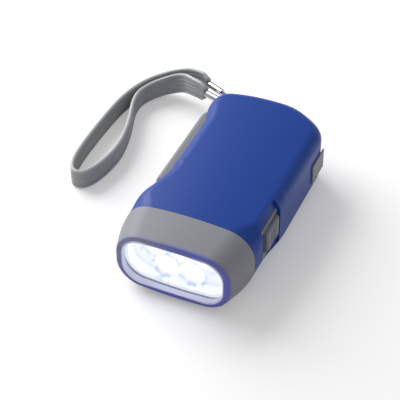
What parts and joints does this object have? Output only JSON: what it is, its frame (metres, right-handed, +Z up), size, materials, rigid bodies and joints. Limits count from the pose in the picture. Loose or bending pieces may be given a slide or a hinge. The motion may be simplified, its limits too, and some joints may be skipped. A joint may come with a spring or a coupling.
{
  "type": "hand crank flashlight",
  "caption": "Squeeze-lever dynamo torch with a wide lamp head, sliding switch, lever lock and a flat wrist strap on a cord loop.",
  "frame": {"origin": "on the flat rest face, 51.7 mm behind the front lip, near the middle of the body", "axes": "+Z up from the rest face, the lamp looks along -Y, the squeeze lever is on the -X side"},
  "size_m": [0.1024, 0.1227, 0.0308],
  "materials": {
    "shell_blue": "satin",
    "bezel_grey": "satin",
    "lever_grey": "satin",
    "switch_grey": "satin",
    "lens_clear": "polished",
    "reflector_silver": "polished",
    "led_clear": "polished",
    "board_green": "satin",
    "steel": "satin",
    "gear_nylon": "satin",
    "magnet_dark": "satin",
    "copper_wire": "polished",
    "brass": "satin",
    "black_plastic": "satin",
    "cell_steel": "polished",
    "cord_grey": "woven",
    "strap_grey": "woven",
    "ferrule_chrome": "polished"
  },
  "bodies": {
    "housing": {"body_shell_top": "shell_blue", "body_shell_bottom": "shell_blue", "bezel": "bezel_grey", "lens": "lens_clear", "reflector": "reflector_silver", "leds": "led_clear", "led_board": "board_green", "lever_pin": "steel", "lever_spring": "steel", "drive_axle": "steel", "step_axle": "steel", "stator_can": "steel", "pole_ring": "steel", "coil_bobbin": "black_plastic", "coil_winding": "copper_wire", "gear_plate": "steel", "plate_screws": "steel", "case_screws": "steel", "circuit_board": "board_green", "board_parts": "black_plastic", "button_cells": "cell_steel", "cell_holder": "black_plastic", "cell_contacts": "brass", "switch_housing": "black_plastic", "switch_trim": "switch_grey", "lanyard_pin": "steel", "lanyard_loop": "cord_grey", "ferrule_upper": "ferrule_chrome", "ferrule_lower": "ferrule_chrome", "wrist_strap": "strap_grey"},
    "lever": {"squeeze_lever": "lever_grey"},
    "drive": {"drive_gear": "gear_nylon"},
    "step": {"step_gear": "gear_nylon"},
    "rotor": {"rotor_gear": "gear_nylon", "flywheel": "brass", "rotor_magnet": "magnet_dark", "rotor_shaft": "steel"},
    "switch": {"switch_knob": "switch_grey"},
    "lock": {"lock_button": "switch_grey", "lock_bar": "black_plastic"}
  },
  "joints": [
    {"name": "lever_pivot", "type": "hinge", "parent": "housing", "child": "lever", "pos_m": [-0.0165, -0.0057, 0.015], "axis": [0, 0, 1], "range_deg": [0, 22]},
    {"name": "drive_spin", "type": "hinge", "parent": "housing", "child": "drive", "pos_m": [0.0015, 0.02548, 0.015], "axis": [0, 0, 1], "range_deg": [-112, 0]},
    {"name": "step_spin", "type": "hinge", "parent": "housing", "child": "step", "pos_m": [0.01252, 0.0128, 0.015], "axis": [0, 0, 1], "range_deg": [0, 336]},
    {"name": "rotor_spin", "type": "hinge", "parent": "housing", "child": "rotor", "pos_m": [0.01302, -0.00159, 0.015], "axis": [0, 0, 1], "range_deg": [-1008, 0]},
    {"name": "switch_slide", "type": "slide", "parent": "housing", "child": "switch", "axis": [0, -1, 0], "range_m": [0, 0.0015]},
    {"name": "lock_slide", "type": "slide", "parent": "housing", "child": "lock", "axis": [0, -1, 0], "range_m": [0, 0.003]}
  ],
  "couplings": [
    {"joint": "drive_spin", "follows": "lever_pivot", "ratio": -5},
    {"joint": "step_spin", "follows": "lever_pivot", "ratio": 15},
    {"joint": "rotor_spin", "follows": "lever_pivot", "ratio": -45}
  ]
}
